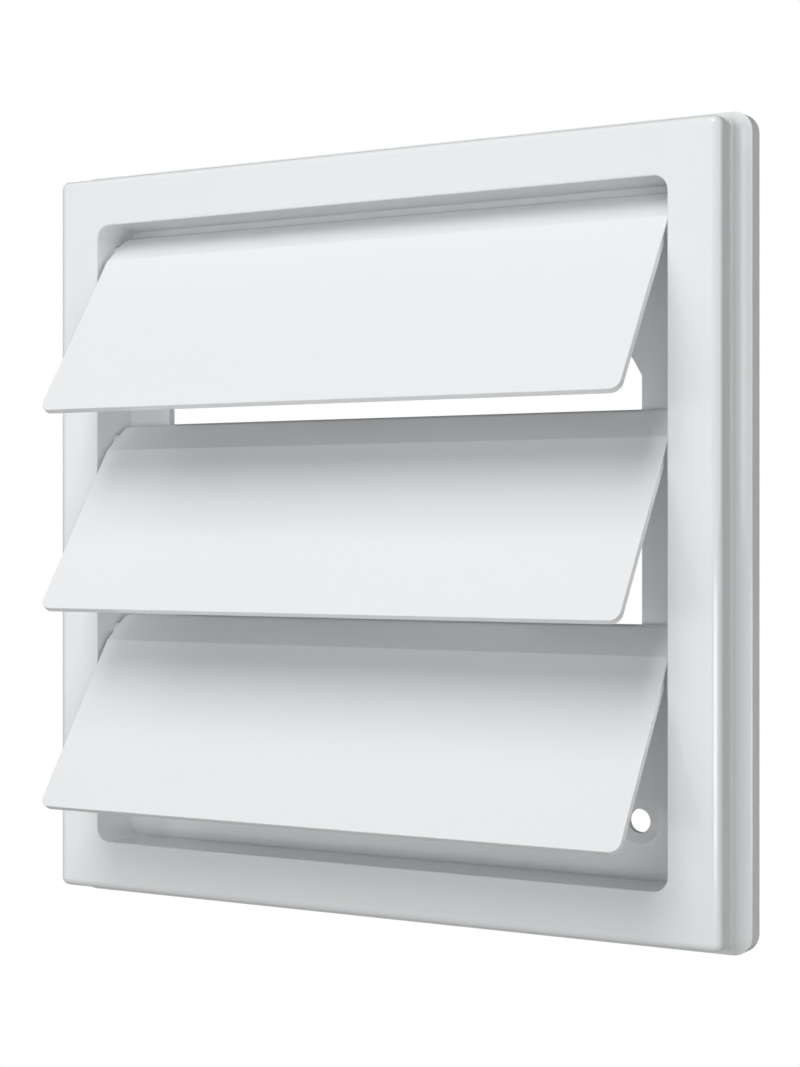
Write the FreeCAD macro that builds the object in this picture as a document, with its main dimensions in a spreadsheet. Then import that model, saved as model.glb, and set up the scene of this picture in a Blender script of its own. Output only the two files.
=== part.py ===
import FreeCAD, Part
import math
import os
import Sketcher
from FreeCAD import Placement, Rotation, Vector

# Louvred wall grille: one moulded frame and three free-hanging flaps.
# X runs along the width, +Y points into the wall, +Z is up, all sizes in mm.
# The origin is the centre of the back face, the face that sits on the wall.

SIZES = [
    # frame, seen from the front
    ("flange_side", 187.0),
    ("face_side", 181.8),
    ("opening_side", 157.3),
    ("face_corner_r", 2.0),
    ("opening_corner_r", 3.4),
    # frame, front to back
    ("depth", 17.2),
    ("flange_edge", 4.4),
    ("cove_height", 4.8),
    ("plate_thick", 2.2),
    ("plate_recess", 0.65),
    ("front_edge_r", 1.9),
    ("lip_r", 0.3),
    ("floor_r", 0.3),
    # hollow rear channel of the border
    ("wall_thick", 2.0),
    ("front_thick", 2.2),
    ("channel_corner_r", 1.5),
    ("rib_thick", 1.6),
    ("rib_setback", 1.0),
    ("rib_pitch", 47.0),
    # duct opening and screw holes in the back plate
    ("duct_dia", 151.0),
    ("duct_flats", 132.8),
    ("screw_spacing", 131.0),
    ("screw_dia", 5.5),
    ("sink_dia", 10.4),
    ("sink_deep", 0.5),
    # pivots
    ("pivot_deep", 8.6),
    ("pivot_top_z", 72.15),
    ("flap_pitch", 48.65),
    ("pin_dia", 4.4),
    ("pin_gap", 0.1),
    ("pin_reach", 81.2),
    ("boss_dia", 4.0),
    ("boss_start", 73.8),
    # flap section, measured from the pivot along and across the flap's plate
    ("flap_half", 77.8),
    ("flap_thick", 1.7),
    ("flap_front", 3.57),
    ("tip_low", 52.79),
    ("kink_low", 4.93),
    ("lip_rise", 4.3),
    ("lip_front", 0.84),
    ("lip_end_rise", 5.95),
    ("lip_end_back", 0.49),
    ("flap_corner_r", 2.6),
    ("flap_top_corner_r", 4.2),
    ("flap_edge_r", 0.2),
    ("lip_end_r", 0.3),
    ("lip_bend_r", 2.0),
    ("flap_lean", 34.0),
    # flap ends thinned behind the shoulder, beside the side walls
    ("end_skin", 0.5),
    ("end_wide", 1.0),
    ("end_low", 10.7),
    ("end_ramp", 1.7),
    # working amounts: how far one solid sinks into the next, and how far a cut runs past the sheet
    ("overlap", 1.0),
    ("spare", 2.0),
]
VALUE = dict(SIZES)

doc = FreeCAD.newDocument("louvred_grille")
sheet = doc.addObject("Spreadsheet::Sheet", "sizes")
for row, (alias, value) in enumerate(SIZES, start=1):
    sheet.set("A%d" % row, alias)
    sheet.set("B%d" % row, str(value))
    sheet.setAlias("B%d" % row, alias)
doc.recompute()


def plane(body, role):
    """Return one of the body's own origin planes."""
    for feature in body.Origin.OriginFeatures:
        if feature.Role == role:
            return feature
    raise ValueError("no origin plane " + role)


def new_sketch(body, name, role, offset=None):
    """Add a sketch on an origin plane, moved along its normal by an expression."""
    sketch = body.newObject("Sketcher::SketchObject", name)
    sketch.AttachmentSupport = (plane(body, role), [""])
    sketch.MapMode = "FlatFace"
    if offset:
        sketch.setExpression("AttachmentOffset.Base.z", offset)
    return sketch


def bind(sketch, kind, ends, value, expression):
    """Add one driving dimension and tie it to the sheet."""
    index = sketch.addConstraint(Sketcher.Constraint(kind, *ends, value))
    sketch.setExpression("Constraints[%d]" % index, expression)


def ring_of_lines(sketch, corners):
    """Draw a closed outline through the corners."""
    first = sketch.GeometryCount
    count = len(corners)
    for i in range(count):
        a = Vector(corners[i][0], corners[i][1], 0)
        b = Vector(corners[(i + 1) % count][0], corners[(i + 1) % count][1], 0)
        sketch.addGeometry(Part.LineSegment(a, b), False)
    for i in range(count):
        sketch.addConstraint(
            Sketcher.Constraint("Coincident", first + i, 2, first + (i + 1) % count, 1))
    return first


def outline(sketch, corners):
    """Closed outline whose corners are (x, y, x expression, y expression)."""
    first = ring_of_lines(sketch, corners)
    for i, (x, y, x_expression, y_expression) in enumerate(corners):
        bind(sketch, "DistanceX", (-1, 1, first + i, 1), x, x_expression)
        bind(sketch, "DistanceY", (-1, 1, first + i, 1), y, y_expression)


def centred_square(sketch, side, expression):
    """Square centred on the sketch origin."""
    half = side / 2
    first = ring_of_lines(sketch, [(-half, -half), (half, -half), (half, half), (-half, half)])
    for i in (0, 2):
        sketch.addConstraint(Sketcher.Constraint("Horizontal", first + i))
        sketch.addConstraint(Sketcher.Constraint("Vertical", first + i + 1))
    sketch.addConstraint(Sketcher.Constraint("Symmetric", first, 1, first + 2, 1, -1, 1))
    bind(sketch, "DistanceX", (first, 1, first, 2), side, expression)
    bind(sketch, "DistanceY", (first + 1, 1, first + 1, 2), side, expression)


def circle(sketch, x, y, dia, x_expression, y_expression, dia_expression):
    """Circle held by its centre and diameter."""
    index = sketch.addGeometry(Part.Circle(Vector(x, y, 0), Vector(0, 0, 1), dia / 2), False)
    bind(sketch, "Diameter", (index,), dia, dia_expression)
    bind(sketch, "DistanceX", (-1, 1, index, 3), x, x_expression)
    bind(sketch, "DistanceY", (-1, 1, index, 3), y, y_expression)


def extrude(body, kind, name, sketch, length, reverse=False, both=False):
    """Pad or pocket a sketch by a length given as an expression."""
    feature = body.newObject("PartDesign::" + kind, name)
    feature.Profile = sketch
    feature.Type = 0
    feature.setExpression("Length", length)
    feature.Reversed = reverse
    feature.Midplane = both
    sketch.Visibility = False
    body.Tip = feature
    doc.recompute()
    return feature


def pick_edges(feature, test):
    """Names of the edges whose bounding box passes the test."""
    names = []
    for i, edge in enumerate(feature.Shape.Edges, start=1):
        if test(edge, edge.BoundBox):
            names.append("Edge%d" % i)
    return names


def round_edges(body, name, base, test, radius):
    """Fillet the chosen edges with a radius tied to the sheet."""
    fillet = body.newObject("PartDesign::Fillet", name)
    fillet.Base = (base, pick_edges(base, test))
    fillet.setExpression("Radius", radius)
    body.Tip = fillet
    doc.recompute()
    return fillet


def near(a, b, slack=0.01):
    return abs(a - b) < slack


def along_y(box):
    return box.YLength > 0.5 and box.XLength < 0.01 and box.ZLength < 0.01


def reach(box):
    """Largest distance of a box from the Y axis, along X or Z."""
    return max(abs(box.XMin), abs(box.XMax), abs(box.ZMin), abs(box.ZMax))


def make_frame():
    body = doc.addObject("PartDesign::Body", "frame")
    body.Label = "frame"
    body.Placement = Placement(Vector(0, 0, 0), Rotation())

    # flat wall flange
    sketch = new_sketch(body, "flange_sketch", "XZ_Plane")
    centred_square(sketch, VALUE["flange_side"], "sizes.flange_side")
    flange = extrude(body, "Pad", "flange", sketch, "sizes.flange_edge")
    flange_corner = "sizes.face_corner_r + (sizes.flange_side - sizes.face_side) / 2"
    flange = round_edges(
        body, "flange_corners", flange, lambda edge, box: along_y(box), flange_corner)

    # raised border block
    sketch = new_sketch(body, "block_sketch", "XZ_Plane", "sizes.flange_edge")
    centred_square(sketch, VALUE["face_side"], "sizes.face_side")
    block = extrude(body, "Pad", "block", sketch, "sizes.depth - sizes.flange_edge")
    block = round_edges(
        body, "block_corners", block,
        lambda edge, box: along_y(box) and box.YMin < -VALUE["depth"] + 0.1,
        "sizes.face_corner_r")

    # coved flank from the border down to the flange, swept round the block
    half = VALUE["face_side"] / 2
    corner = VALUE["face_corner_r"]
    path = new_sketch(body, "cove_path", "XZ_Plane")
    straight = half - corner
    points = [
        (half, 0), (half, straight), (straight, half), (-straight, half), (-half, straight),
        (-half, -straight), (-straight, -half), (straight, -half), (half, -straight)]
    turns = {1: 0, 3: 90, 5: 180, 7: 270}
    centres = {
        1: (straight, straight), 3: (-straight, straight),
        5: (-straight, -straight), 7: (straight, -straight)}
    count = len(points)
    for i in range(count):
        a = Vector(points[i][0], points[i][1], 0)
        b = Vector(points[(i + 1) % count][0], points[(i + 1) % count][1], 0)
        if i in turns:
            ring = Part.Circle(Vector(centres[i][0], centres[i][1], 0), Vector(0, 0, 1), corner)
            start = math.radians(turns[i])
            path.addGeometry(Part.ArcOfCircle(ring, start, start + math.pi / 2), False)
        else:
            path.addGeometry(Part.LineSegment(a, b), False)
    for i in range(count - 1):
        path.addConstraint(Sketcher.Constraint("Tangent", i, 2, i + 1, 1))
    path.addConstraint(Sketcher.Constraint("Coincident", count - 1, 2, 0, 1))
    for i in (0, 4, 8):
        path.addConstraint(Sketcher.Constraint("Vertical", i))
    for i in (2, 6):
        path.addConstraint(Sketcher.Constraint("Horizontal", i))
    for i in (1, 3, 5, 7):
        bind(path, "Radius", (i,), corner, "sizes.face_corner_r")
    path.addConstraint(Sketcher.Constraint("PointOnObject", 0, 1, -1))
    bind(path, "DistanceX", (-1, 1, 0, 1), half, "sizes.face_side / 2")
    bind(path, "DistanceX", (4, 1, -1, 1), half, "sizes.face_side / 2")
    bind(path, "DistanceY", (-1, 1, 2, 1), half, "sizes.face_side / 2")
    bind(path, "DistanceY", (6, 1, -1, 1), half, "sizes.face_side / 2")

    profile = new_sketch(body, "cove_profile", "XY_Plane")
    out = (VALUE["flange_side"] - VALUE["face_side"]) / 2
    low = -VALUE["flange_edge"]
    high = low - VALUE["cove_height"]
    radius = (out * out + VALUE["cove_height"] ** 2) / (2 * out)
    inner = half - VALUE["overlap"]
    ring = Part.Circle(Vector(half + radius, high, 0), Vector(0, 0, 1), radius)
    turn = math.asin(VALUE["cove_height"] / radius)
    profile.addGeometry(Part.ArcOfCircle(ring, math.pi - turn, math.pi), False)
    profile.addGeometry(Part.LineSegment(Vector(half, high, 0), Vector(inner, high, 0)), False)
    profile.addGeometry(Part.LineSegment(Vector(inner, high, 0), Vector(inner, low, 0)), False)
    profile.addGeometry(Part.LineSegment(Vector(inner, low, 0), Vector(half + out, low, 0)), False)
    profile.addConstraint(Sketcher.Constraint("Coincident", 0, 2, 1, 1))
    profile.addConstraint(Sketcher.Constraint("Coincident", 1, 2, 2, 1))
    profile.addConstraint(Sketcher.Constraint("Coincident", 2, 2, 3, 1))
    profile.addConstraint(Sketcher.Constraint("Coincident", 3, 2, 0, 1))
    profile.addConstraint(Sketcher.Constraint("Horizontal", 1))
    profile.addConstraint(Sketcher.Constraint("Vertical", 2))
    profile.addConstraint(Sketcher.Constraint("Horizontal", 3))
    bind(profile, "DistanceX", (-1, 1, 0, 2), half, "sizes.face_side / 2")
    bind(profile, "DistanceX", (-1, 1, 0, 1), half + out, "sizes.flange_side / 2")
    bind(profile, "DistanceY", (0, 1, -1, 1), -low, "sizes.flange_edge")
    bind(profile, "DistanceY", (0, 2, 0, 1), VALUE["cove_height"], "sizes.cove_height")
    bind(profile, "DistanceX", (1, 2, 1, 1), VALUE["overlap"], "sizes.overlap")
    bind(profile, "Radius", (0,), radius,
         "(((sizes.flange_side - sizes.face_side) / 2)^2 + sizes.cove_height^2)"
         " / (sizes.flange_side - sizes.face_side)")
    doc.recompute()
    cove = body.newObject("PartDesign::AdditivePipe", "cove")
    cove.Profile = profile
    cove.Spine = (path, [""])
    cove.Transition = 0
    body.Tip = cove
    doc.recompute()

    # soft outer edge of the border's front
    front = -VALUE["depth"]
    rounded = round_edges(
        body, "front_edge", cove,
        lambda edge, box: near(box.YMin, front) and near(box.YMax, front), "sizes.front_edge_r")

    # well: the square opening down to the back plate
    sketch = new_sketch(body, "well_sketch", "XZ_Plane", "sizes.depth")
    centred_square(sketch, VALUE["opening_side"], "sizes.opening_side")
    well = extrude(
        body, "Pocket", "well", sketch, "sizes.depth - sizes.plate_thick - sizes.plate_recess")
    opening = VALUE["opening_side"] / 2
    well = round_edges(
        body, "well_corners", well,
        lambda edge, box: along_y(box) and near(reach(box), opening), "sizes.opening_corner_r")
    floor_y = -VALUE["plate_thick"] - VALUE["plate_recess"]
    well = round_edges(
        body, "well_floor_edge", well,
        lambda edge, box: near(box.YMin, floor_y) and near(box.YMax, floor_y), "sizes.floor_r")
    round_edges(
        body, "well_lip", well,
        lambda edge, box: near(box.YMin, front) and near(box.YMax, front)
        and reach(box) < opening + 0.1,
        "sizes.lip_r")

    # the back plate sits a little in front of the wall plane
    sketch = new_sketch(body, "recess_sketch", "XZ_Plane")
    centred_square(sketch, VALUE["opening_side"], "sizes.opening_side")
    extrude(body, "Pocket", "plate_back", sketch, "sizes.plate_recess", reverse=True)

    # rear channel that keeps the border thin-walled
    sketch = new_sketch(body, "channel_sketch", "XZ_Plane")
    outer_side = VALUE["face_side"] - 2 * VALUE["wall_thick"]
    inner_side = VALUE["opening_side"] + 2 * VALUE["wall_thick"]
    centred_square(sketch, outer_side, "sizes.face_side - 2 * sizes.wall_thick")
    centred_square(sketch, inner_side, "sizes.opening_side + 2 * sizes.wall_thick")
    channel = extrude(
        body, "Pocket", "channel", sketch, "sizes.depth - sizes.front_thick", reverse=True)
    round_edges(
        body, "channel_corners", channel,
        lambda edge, box: along_y(box) and near(box.YMax, 0)
        and (near(reach(box), outer_side / 2) or near(reach(box), inner_side / 2)),
        "sizes.channel_corner_r")

    # ribs across the channel
    sketch = new_sketch(body, "rib_sketch", "XZ_Plane", "sizes.rib_setback")
    near_wall = inner_side / 2 - VALUE["overlap"]
    far_wall = outer_side / 2 + VALUE["overlap"]
    half_rib = VALUE["rib_thick"] / 2
    near_text = "(sizes.opening_side / 2 + sizes.wall_thick - sizes.overlap)"
    far_text = "(sizes.face_side / 2 - sizes.wall_thick + sizes.overlap)"
    for side in (-1, 1):
        for step in (-1, 0, 1):
            centre = step * VALUE["rib_pitch"]
            low_text = "%d * sizes.rib_pitch - sizes.rib_thick / 2" % step
            high_text = "%d * sizes.rib_pitch + sizes.rib_thick / 2" % step
            a, b = side * near_wall, side * far_wall
            a_text, b_text = "%d * %s" % (side, near_text), "%d * %s" % (side, far_text)
            c, d = centre - half_rib, centre + half_rib
            outline(sketch, [
                (a, c, a_text, low_text), (b, c, b_text, low_text),
                (b, d, b_text, high_text), (a, d, a_text, high_text)])
            outline(sketch, [
                (c, a, low_text, a_text), (d, a, high_text, a_text),
                (d, b, high_text, b_text), (c, b, low_text, b_text)])
    extrude(
        body, "Pad", "ribs", sketch, "sizes.depth - sizes.front_thick / 2 - sizes.rib_setback")

    # duct opening: a circle cut off by four flats
    sketch = new_sketch(body, "duct_sketch", "XZ_Plane")
    duct_r = VALUE["duct_dia"] / 2
    flat = VALUE["duct_flats"] / 2
    meet = math.sqrt(duct_r * duct_r - flat * flat)
    arc_start = math.atan2(meet, flat)
    for quarter in range(4):
        turn = quarter * math.pi / 2
        a = Vector(flat, -meet, 0)
        b = Vector(flat, meet, 0)
        spin = Rotation(Vector(0, 0, 1), math.degrees(turn))
        sketch.addGeometry(Part.LineSegment(spin.multVec(a), spin.multVec(b)), False)
        ring = Part.Circle(Vector(0, 0, 0), Vector(0, 0, 1), duct_r)
        arc = Part.ArcOfCircle(ring, turn + arc_start, turn + math.pi / 2 - arc_start)
        sketch.addGeometry(arc, False)
    for i in range(8):
        sketch.addConstraint(Sketcher.Constraint("Coincident", i, 2, (i + 1) % 8, 1))
    for i in (1, 3, 5, 7):
        sketch.addConstraint(Sketcher.Constraint("Coincident", i, 3, -1, 1))
    for i in (0, 4):
        sketch.addConstraint(Sketcher.Constraint("Vertical", i))
        sketch.addConstraint(Sketcher.Constraint("Horizontal", i + 2))
    bind(sketch, "Radius", (1,), duct_r, "sizes.duct_dia / 2")
    bind(sketch, "DistanceX", (-1, 1, 0, 1), flat, "sizes.duct_flats / 2")
    bind(sketch, "DistanceX", (4, 1, -1, 1), flat, "sizes.duct_flats / 2")
    bind(sketch, "DistanceY", (-1, 1, 2, 1), flat, "sizes.duct_flats / 2")
    bind(sketch, "DistanceY", (6, 1, -1, 1), flat, "sizes.duct_flats / 2")
    extrude(body, "Pocket", "duct", sketch, "2 * sizes.plate_thick", reverse=True)

    # countersunk screw holes in the corners of the back plate
    sketch = new_sketch(body, "screw_sketch", "XZ_Plane")
    place = VALUE["screw_spacing"] / 2
    for sx in (-1, 1):
        for sz in (-1, 1):
            circle(
                sketch, sx * place, sz * place, VALUE["screw_dia"],
                "%d * sizes.screw_spacing / 2" % sx, "%d * sizes.screw_spacing / 2" % sz,
                "sizes.screw_dia")
    holes = extrude(body, "Pocket", "screw_holes", sketch, "2 * sizes.plate_thick", reverse=True)
    sink = body.newObject("PartDesign::Chamfer", "countersinks")
    sink.Base = (holes, pick_edges(
        holes, lambda edge, box: near(box.YMin, floor_y) and near(box.YMax, floor_y)
        and near(box.XLength, VALUE["screw_dia"], 0.1) and near(box.ZLength, box.XLength, 0.1)))
    sink.ChamferType = 1
    sink.FlipDirection = True
    sink.setExpression("Size", "(sizes.sink_dia - sizes.screw_dia) / 2")
    sink.setExpression("Size2", "sizes.sink_deep")
    body.Tip = sink
    doc.recompute()

    # pivot holes through both inner side walls
    sketch = new_sketch(body, "pivot_sketch", "YZ_Plane")
    for step in range(3):
        circle(
            sketch, VALUE["pivot_deep"] - VALUE["depth"],
            VALUE["pivot_top_z"] - step * VALUE["flap_pitch"],
            VALUE["pin_dia"] + 2 * VALUE["pin_gap"],
            "sizes.pivot_deep - sizes.depth",
            "sizes.pivot_top_z - %d * sizes.flap_pitch" % step,
            "sizes.pin_dia + 2 * sizes.pin_gap")
    extrude(
        body, "Pocket", "pivot_holes", sketch,
        "sizes.opening_side + 4 * sizes.wall_thick", both=True)
    return body


def make_flap(name, step):
    body = doc.addObject("PartDesign::Body", name)
    body.Label = name

    # section of the sheet: flat plate, kinked shoulder, curled top edge
    front = VALUE["flap_front"]
    thick = VALUE["flap_thick"]
    rise = VALUE["lip_rise"]
    lip = VALUE["lip_front"]
    end_rise = VALUE["lip_end_rise"]
    end_back = VALUE["lip_end_back"]
    shoulder = math.atan2(front - lip, rise + VALUE["kink_low"])
    curl = math.atan2(end_back + lip, end_rise - rise)
    halfway = (shoulder + curl) / 2
    kink_miter = thick * math.tan(shoulder / 2)
    bend_miter = thick / math.cos((curl - shoulder) / 2)
    shoulder_text = "atan2(sizes.flap_front - sizes.lip_front; sizes.lip_rise + sizes.kink_low)"
    curl_text = "atan2(sizes.lip_end_back + sizes.lip_front; sizes.lip_end_rise - sizes.lip_rise)"
    halfway_text = "((%s + %s) / 2)" % (shoulder_text, curl_text)
    bend_text = "sizes.flap_thick / cos((%s - %s) / 2)" % (curl_text, shoulder_text)
    corners = [
        (-front, -VALUE["tip_low"], "-sizes.flap_front", "-sizes.tip_low"),
        (-front, -VALUE["kink_low"], "-sizes.flap_front", "-sizes.kink_low"),
        (-lip, rise, "-sizes.lip_front", "sizes.lip_rise"),
        (end_back, end_rise, "sizes.lip_end_back", "sizes.lip_end_rise"),
        (end_back + thick * math.cos(curl), end_rise - thick * math.sin(curl),
         "sizes.lip_end_back + sizes.flap_thick * cos(%s)" % curl_text,
         "sizes.lip_end_rise - sizes.flap_thick * sin(%s)" % curl_text),
        (-lip + bend_miter * math.cos(halfway), rise - bend_miter * math.sin(halfway),
         "-sizes.lip_front + %s * cos(%s)" % (bend_text, halfway_text),
         "sizes.lip_rise - %s * sin(%s)" % (bend_text, halfway_text)),
        (thick - front, -VALUE["kink_low"] - kink_miter,
         "sizes.flap_thick - sizes.flap_front",
         "-sizes.kink_low - sizes.flap_thick * tan(%s / 2)" % shoulder_text),
        (thick - front, -VALUE["tip_low"],
         "sizes.flap_thick - sizes.flap_front", "-sizes.tip_low"),
    ]
    section = new_sketch(body, name + "_section", "YZ_Plane")
    outline(section, corners)
    plate = extrude(body, "Pad", name + "_plate", section, "2 * sizes.flap_half", both=True)

    # rounded free corners, then the corners of the curled edge
    tip = -VALUE["tip_low"]
    half = VALUE["flap_half"]
    plate = round_edges(
        body, name + "_corners", plate,
        lambda edge, box: along_y(box) and near(box.ZMin, tip), "sizes.flap_corner_r")
    plate = round_edges(
        body, name + "_top_corners", plate,
        lambda edge, box: near(box.XLength, 0) and near(box.YMin, end_back)
        and near(box.ZMax, end_rise),
        "sizes.flap_top_corner_r")

    # bend of the curled edge, then its rounded rim
    plate = round_edges(
        body, name + "_bend", plate,
        lambda edge, box: near(box.ZMin, rise) and near(box.ZMax, rise) and box.XLength > half,
        "sizes.lip_bend_r")
    plate = round_edges(
        body, name + "_rim", plate,
        lambda edge, box: box.XLength > half and near(box.ZMin, box.ZMax)
        and (near(box.ZMax, end_rise) or near(box.ZMin, corners[4][1])),
        "sizes.lip_end_r")
    round_edges(
        body, name + "_edges", plate,
        lambda edge, box: near(box.YLength, 0) and box.ZMax < -VALUE["kink_low"] + 0.01
        and (box.XLength < half or near(box.ZMin, tip)),
        "sizes.flap_edge_r")

    # shoulder ends thinned from behind down to a front skin, with a short ramp below
    skin = VALUE["end_skin"]
    skin_miter = skin / math.cos((curl - shoulder) / 2)
    skin_text = "sizes.end_skin / cos((%s - %s) / 2)" % (curl_text, shoulder_text)
    spare = VALUE["spare"]
    behind = thick + spare
    above = end_rise + spare
    thinning = [
        (skin - front, -VALUE["end_low"], "sizes.end_skin - sizes.flap_front", "-sizes.end_low"),
        (skin - front, -VALUE["kink_low"] - skin * math.tan(shoulder / 2),
         "sizes.end_skin - sizes.flap_front",
         "-sizes.kink_low - sizes.end_skin * tan(%s / 2)" % shoulder_text),
        (-lip + skin_miter * math.cos(halfway), rise - skin_miter * math.sin(halfway),
         "-sizes.lip_front + %s * cos(%s)" % (skin_text, halfway_text),
         "sizes.lip_rise - %s * sin(%s)" % (skin_text, halfway_text)),
        (end_back + skin * math.cos(curl) + spare * math.tan(curl), above - skin * math.sin(curl),
         "sizes.lip_end_back + sizes.end_skin * cos(%s) + sizes.spare * tan(%s)" % (
             curl_text, curl_text),
         "sizes.lip_end_rise + sizes.spare - sizes.end_skin * sin(%s)" % curl_text),
        (behind, above, "sizes.flap_thick + sizes.spare", "sizes.lip_end_rise + sizes.spare"),
        (behind, -VALUE["end_low"] - VALUE["end_ramp"],
         "sizes.flap_thick + sizes.spare", "-sizes.end_low - sizes.end_ramp"),
        (thick - front, -VALUE["end_low"] - VALUE["end_ramp"],
         "sizes.flap_thick - sizes.flap_front", "-sizes.end_low - sizes.end_ramp"),
    ]
    for side, word in ((-1, "left"), (1, "right")):
        sketch = new_sketch(body, "%s_thinning_%s" % (name, word), "YZ_Plane",
                            "%d * (sizes.flap_half - sizes.end_wide)" % side)
        outline(sketch, thinning)
        extrude(body, "Pocket", "%s_thinned_%s" % (name, word), sketch,
                "2 * sizes.end_wide", reverse=side > 0)

    # moulded pivot pins on short bosses
    for side, word in ((-1, "left"), (1, "right")):
        sketch = new_sketch(body, "%s_boss_%s" % (name, word), "YZ_Plane",
                            "%d * sizes.boss_start" % side)
        circle(sketch, 0, 0, VALUE["boss_dia"], "0", "0", "sizes.boss_dia")
        extrude(body, "Pad", "%s_root_%s" % (name, word), sketch,
                "sizes.flap_half - sizes.boss_start", reverse=side < 0)
        sketch = new_sketch(body, "%s_pin_%s" % (name, word), "YZ_Plane",
                            "%d * sizes.flap_half" % side)
        circle(sketch, 0, 0, VALUE["pin_dia"], "0", "0", "sizes.pin_dia")
        extrude(body, "Pad", "%s_pivot_%s" % (name, word), sketch,
                "sizes.pin_reach - sizes.flap_half", reverse=side < 0)

    # hang the flap on its pivot, leaning out at its half-open rest angle
    body.Placement = Placement(
        Vector(0, VALUE["pivot_deep"] - VALUE["depth"],
               VALUE["pivot_top_z"] - step * VALUE["flap_pitch"]),
        Rotation(Vector(1, 0, 0), -VALUE["flap_lean"]))
    body.setExpression("Placement.Base.y", "sizes.pivot_deep - sizes.depth")
    body.setExpression("Placement.Base.z", "sizes.pivot_top_z - %d * sizes.flap_pitch" % step)
    body.setExpression("Placement.Rotation.Angle", "-sizes.flap_lean")
    doc.recompute()
    return body


parts = [make_frame()]
for number, label in enumerate(("flap_top", "flap_middle", "flap_bottom")):
    parts.append(make_flap(label, number))
doc.recompute()

for item in doc.Objects:
    if "Invalid" in item.State or "Error" in item.State:
        raise RuntimeError("%s did not build: %s" % (item.Label, item.State))

os.makedirs("parts", exist_ok=True)
for part in parts:
    shape = part.Shape
    if shape.isNull() or not shape.isValid() or len(shape.Solids) != 1:
        raise RuntimeError("%s has a bad solid" % part.Label)
    shape.exportStep("parts/%s.step" % part.Label)
    print("%s volume %.1f mm3, box %s" % (part.Label, shape.Volume, shape.BoundBox))
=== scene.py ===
import math

import bpy
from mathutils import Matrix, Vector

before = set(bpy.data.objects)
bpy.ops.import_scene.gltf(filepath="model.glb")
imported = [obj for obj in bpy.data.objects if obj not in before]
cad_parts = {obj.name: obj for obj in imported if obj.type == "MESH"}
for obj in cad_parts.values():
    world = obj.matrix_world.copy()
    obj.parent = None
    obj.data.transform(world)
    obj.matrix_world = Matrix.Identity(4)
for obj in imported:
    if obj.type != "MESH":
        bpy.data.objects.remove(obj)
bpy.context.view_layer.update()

# Camera: level three-quarter view from the right (metres, degrees, millimetres of lens)
CAMERA_PLACE = (0.2630, -0.4497, 0.0)
CAMERA_TURN = 30.225
LENS = 71.93
SENSOR_HEIGHT = 36.0
NEAR, FAR = 0.01, 50.0

# Floor, well below the grille (metres)
FLOOR_Z = -0.30
FLOOR_SIDE = 12.0
FLOOR_MIDDLE_Y = 2.0
FLOOR_GREY = (0.35, 0.35, 0.35, 1)
FLOOR_ROUGHNESS = 0.9
FLOOR_GLOW = 0.12

# Light: overall sky, then soft boxes that all face the grille from one distance.
# Each has an azimuth (0 is straight in front, positive to the right), an elevation,
# a size in metres and a power in watts.
SKY = 0.10
LIGHT_DISTANCE = 1.5
LIGHTS = (
    ("top_front", 0, 40, (0.7, 0.7), 8.0),
    ("top", 0, 62, (0.7, 0.45), 3.0),
    ("left_high", -57, 53, (1.2, 1.0), 2.4),
    ("left_upper", -30, 30, (0.95, 0.6), 0.8),
    ("left_level", -30, 0, (0.95, 0.8), 2.7),
    ("right", 88, 13.5, (0.75, 0.7), 2.9),
    ("right_low", 35, -13, (1.2, 0.6), 10.5),
)

# Plastic: tints, roughness, and the texture scales (per metre) of what varies over the surface
FRAME_TINT = (0.914, 0.936, 0.945)
FLAP_TINT = (0.926, 0.942, 0.954)
DULL = 0.985
ROUGHNESS = 0.09
LESS_ROUGH, MORE_ROUGH = 0.02, 0.03
PLASTIC_IOR = 1.55
FLOW_SCALE = 14.0
CLOUD_SCALE = 90.0
GRAIN_SCALE = 2600.0
SINK_SCALE = 38.0
FRAME_FLOW = (1.0, 1.0, 0.25)
FLAP_FLOW = (0.2, 1.0, 1.0)

# Bump: strength, and depth in metres
GRAIN_BUMP = (0.04, 0.00004)
SINK_BUMP = (0.05, 0.00025)


def node_tree(name):
    """A fresh material with its shader and output, ready for wiring."""
    material = bpy.data.materials.new(name)
    material.use_nodes = True
    tree = material.node_tree
    return material, tree, tree.nodes["Principled BSDF"]


def noise(tree, scale, detail, roughness, source):
    """Noise texture on object coordinates."""
    texture = tree.nodes.new("ShaderNodeTexNoise")
    texture.inputs["Scale"].default_value = scale
    texture.inputs["Detail"].default_value = detail
    texture.inputs["Roughness"].default_value = roughness
    tree.links.new(source, texture.inputs["Vector"])
    return texture.outputs["Fac"]


def ramp(tree, value, low, high, steps):
    """Map a value between two limits onto a colour ramp."""
    node = tree.nodes.new("ShaderNodeMapRange")
    node.inputs["From Min"].default_value = low
    node.inputs["From Max"].default_value = high
    tree.links.new(value, node.inputs["Value"])
    colours = tree.nodes.new("ShaderNodeValToRGB")
    colours.color_ramp.elements[0].color = (*steps[0], 1)
    colours.color_ramp.elements[1].color = (*steps[1], 1)
    tree.links.new(node.outputs["Result"], colours.inputs["Fac"])
    return colours.outputs["Color"]


def bump(tree, height, strength, depth):
    """Bump node for one height texture."""
    node = tree.nodes.new("ShaderNodeBump")
    node.inputs["Strength"].default_value = strength
    node.inputs["Distance"].default_value = depth
    tree.links.new(height, node.inputs["Height"])
    return node


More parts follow.
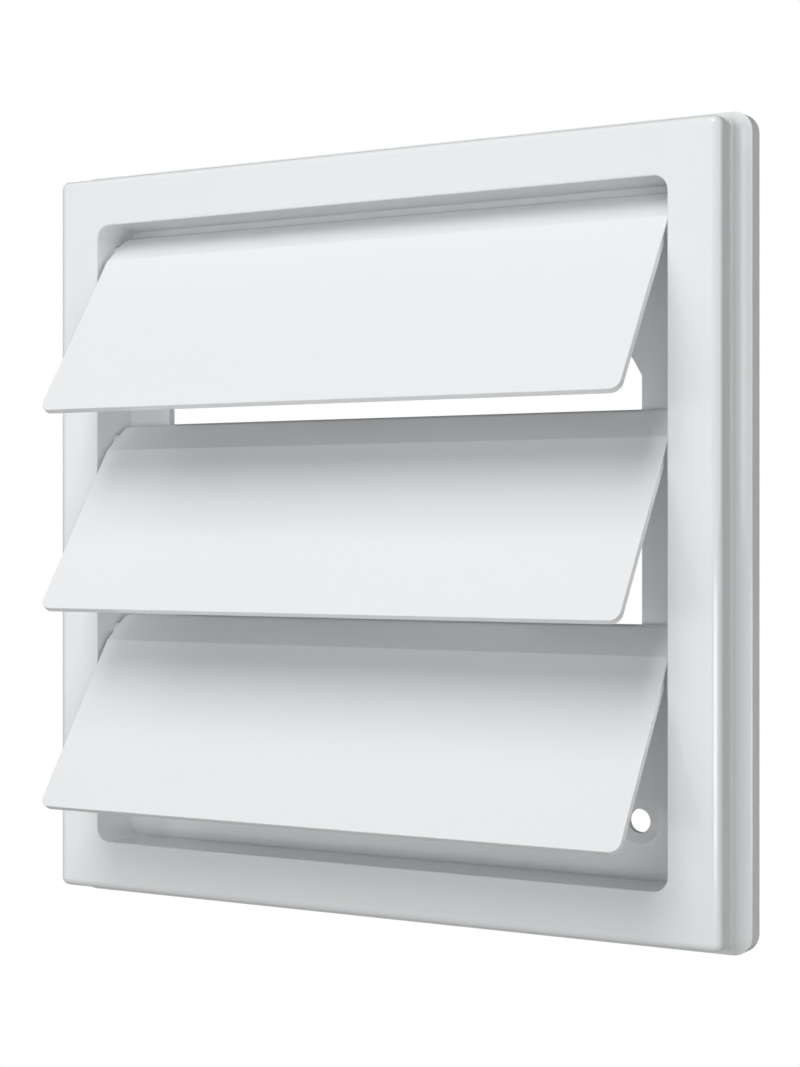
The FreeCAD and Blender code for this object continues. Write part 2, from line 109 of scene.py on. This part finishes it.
def moulded_plastic(name, tint, stretch):
    """Glossy white moulded plastic: faint flow streaks, fine mould grain, slight waviness."""
    material, tree, shader = node_tree(name)
    place = tree.nodes.new("ShaderNodeTexCoord").outputs["Object"]
    squeeze = tree.nodes.new("ShaderNodeMapping")
    squeeze.inputs["Scale"].default_value = stretch
    tree.links.new(place, squeeze.inputs["Vector"])
    flow = noise(tree, FLOW_SCALE, 3.0, 0.55, squeeze.outputs["Vector"])
    cloud = noise(tree, CLOUD_SCALE, 4.0, 0.6, place)
    grain = noise(tree, GRAIN_SCALE, 2.0, 0.6, place)
    sink = noise(tree, SINK_SCALE, 1.0, 0.4, place)

    dull = tuple(channel * DULL for channel in tint)
    colour = ramp(tree, flow, 0.35, 0.65, (dull, tint))
    tree.links.new(colour, shader.inputs["Base Color"])

    sheen = tree.nodes.new("ShaderNodeMapRange")
    sheen.inputs["From Min"].default_value = 0.3
    sheen.inputs["From Max"].default_value = 0.7
    sheen.inputs["To Min"].default_value = ROUGHNESS - LESS_ROUGH
    sheen.inputs["To Max"].default_value = ROUGHNESS + MORE_ROUGH
    tree.links.new(cloud, sheen.inputs["Value"])
    tree.links.new(sheen.outputs["Result"], shader.inputs["Roughness"])

    fine = bump(tree, grain, *GRAIN_BUMP)
    wave = bump(tree, sink, *SINK_BUMP)
    tree.links.new(fine.outputs["Normal"], wave.inputs["Normal"])
    tree.links.new(wave.outputs["Normal"], shader.inputs["Normal"])

    shader.inputs["IOR"].default_value = PLASTIC_IOR
    return material


def show_white(tree, lit, white, output):
    """What the camera sees directly is plain white; the light on the object stays as set."""
    mix = tree.nodes.new("ShaderNodeMixShader")
    path = tree.nodes.new("ShaderNodeLightPath")
    tree.links.new(path.outputs["Is Camera Ray"], mix.inputs["Fac"])
    tree.links.new(lit, mix.inputs[1])
    tree.links.new(white, mix.inputs[2])
    tree.links.new(mix.outputs["Shader"], tree.nodes[output].inputs["Surface"])


def soft_box(name, azimuth, elevation, size, power):
    """Soft rectangular light on the dome round the grille, facing its centre."""
    data = bpy.data.lights.new(name, "AREA")
    data.shape = "RECTANGLE"
    data.size, data.size_y = size
    data.energy = power
    light = bpy.data.objects.new(name, data)
    bpy.context.collection.objects.link(light)
    turn, rise = math.radians(azimuth), math.radians(elevation)
    light.location = LIGHT_DISTANCE * Vector((
        math.cos(rise) * math.sin(turn),
        -math.cos(rise) * math.cos(turn),
        math.sin(rise)))
    light.rotation_euler = (-light.location).to_track_quat("-Z", "Y").to_euler()


# Finishes for the moulded frame and flaps
frame_finish = moulded_plastic("frame_moulding", FRAME_TINT, FRAME_FLOW)
flap_finish = moulded_plastic("flap_moulding", FLAP_TINT, FLAP_FLOW)
for node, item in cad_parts.items():
    finish = frame_finish if node == "frame" else flap_finish
    item.data.materials.clear()
    item.data.materials.append(finish)

# Studio floor, seen as plain white
bpy.ops.mesh.primitive_plane_add(size=FLOOR_SIDE, location=(0.0, FLOOR_MIDDLE_Y, FLOOR_Z))
floor = bpy.context.object
floor.name = "studio_floor"
paint, tree, shader = node_tree("floor_paint")
shader.inputs["Base Color"].default_value = FLOOR_GREY
shader.inputs["Roughness"].default_value = FLOOR_ROUGHNESS
shader.inputs["Emission Color"].default_value = (1, 1, 1, 1)
shader.inputs["Emission Strength"].default_value = FLOOR_GLOW
white = tree.nodes.new("ShaderNodeEmission")
white.inputs["Strength"].default_value = 1.0
show_white(tree, shader.outputs["BSDF"], white.outputs["Emission"], "Material Output")
floor.data.materials.append(paint)

# Soft studio light
world = bpy.data.worlds.new("studio")
bpy.context.scene.world = world
world.use_nodes = True
tree = world.node_tree
tree.nodes["Background"].inputs["Color"].default_value = (1, 1, 1, 1)
tree.nodes["Background"].inputs["Strength"].default_value = SKY
white = tree.nodes.new("ShaderNodeBackground")
white.inputs["Color"].default_value = (1, 1, 1, 1)
white.inputs["Strength"].default_value = 1.0
show_white(
    tree, tree.nodes["Background"].outputs["Background"], white.outputs["Background"],
    "World Output")
for box in LIGHTS:
    soft_box(*box)

# Camera
lens = bpy.data.cameras.new("product_view")
lens.sensor_fit = "VERTICAL"
lens.sensor_height = SENSOR_HEIGHT
lens.lens = LENS
lens.clip_start, lens.clip_end = NEAR, FAR
camera = bpy.data.objects.new("product_view", lens)
bpy.context.collection.objects.link(camera)
camera.location = CAMERA_PLACE
camera.rotation_euler = (math.radians(90), 0, math.radians(CAMERA_TURN))
bpy.context.scene.camera = camera
bpy.context.scene.view_settings.view_transform = "Standard"
bpy.context.scene.view_settings.look = "None"
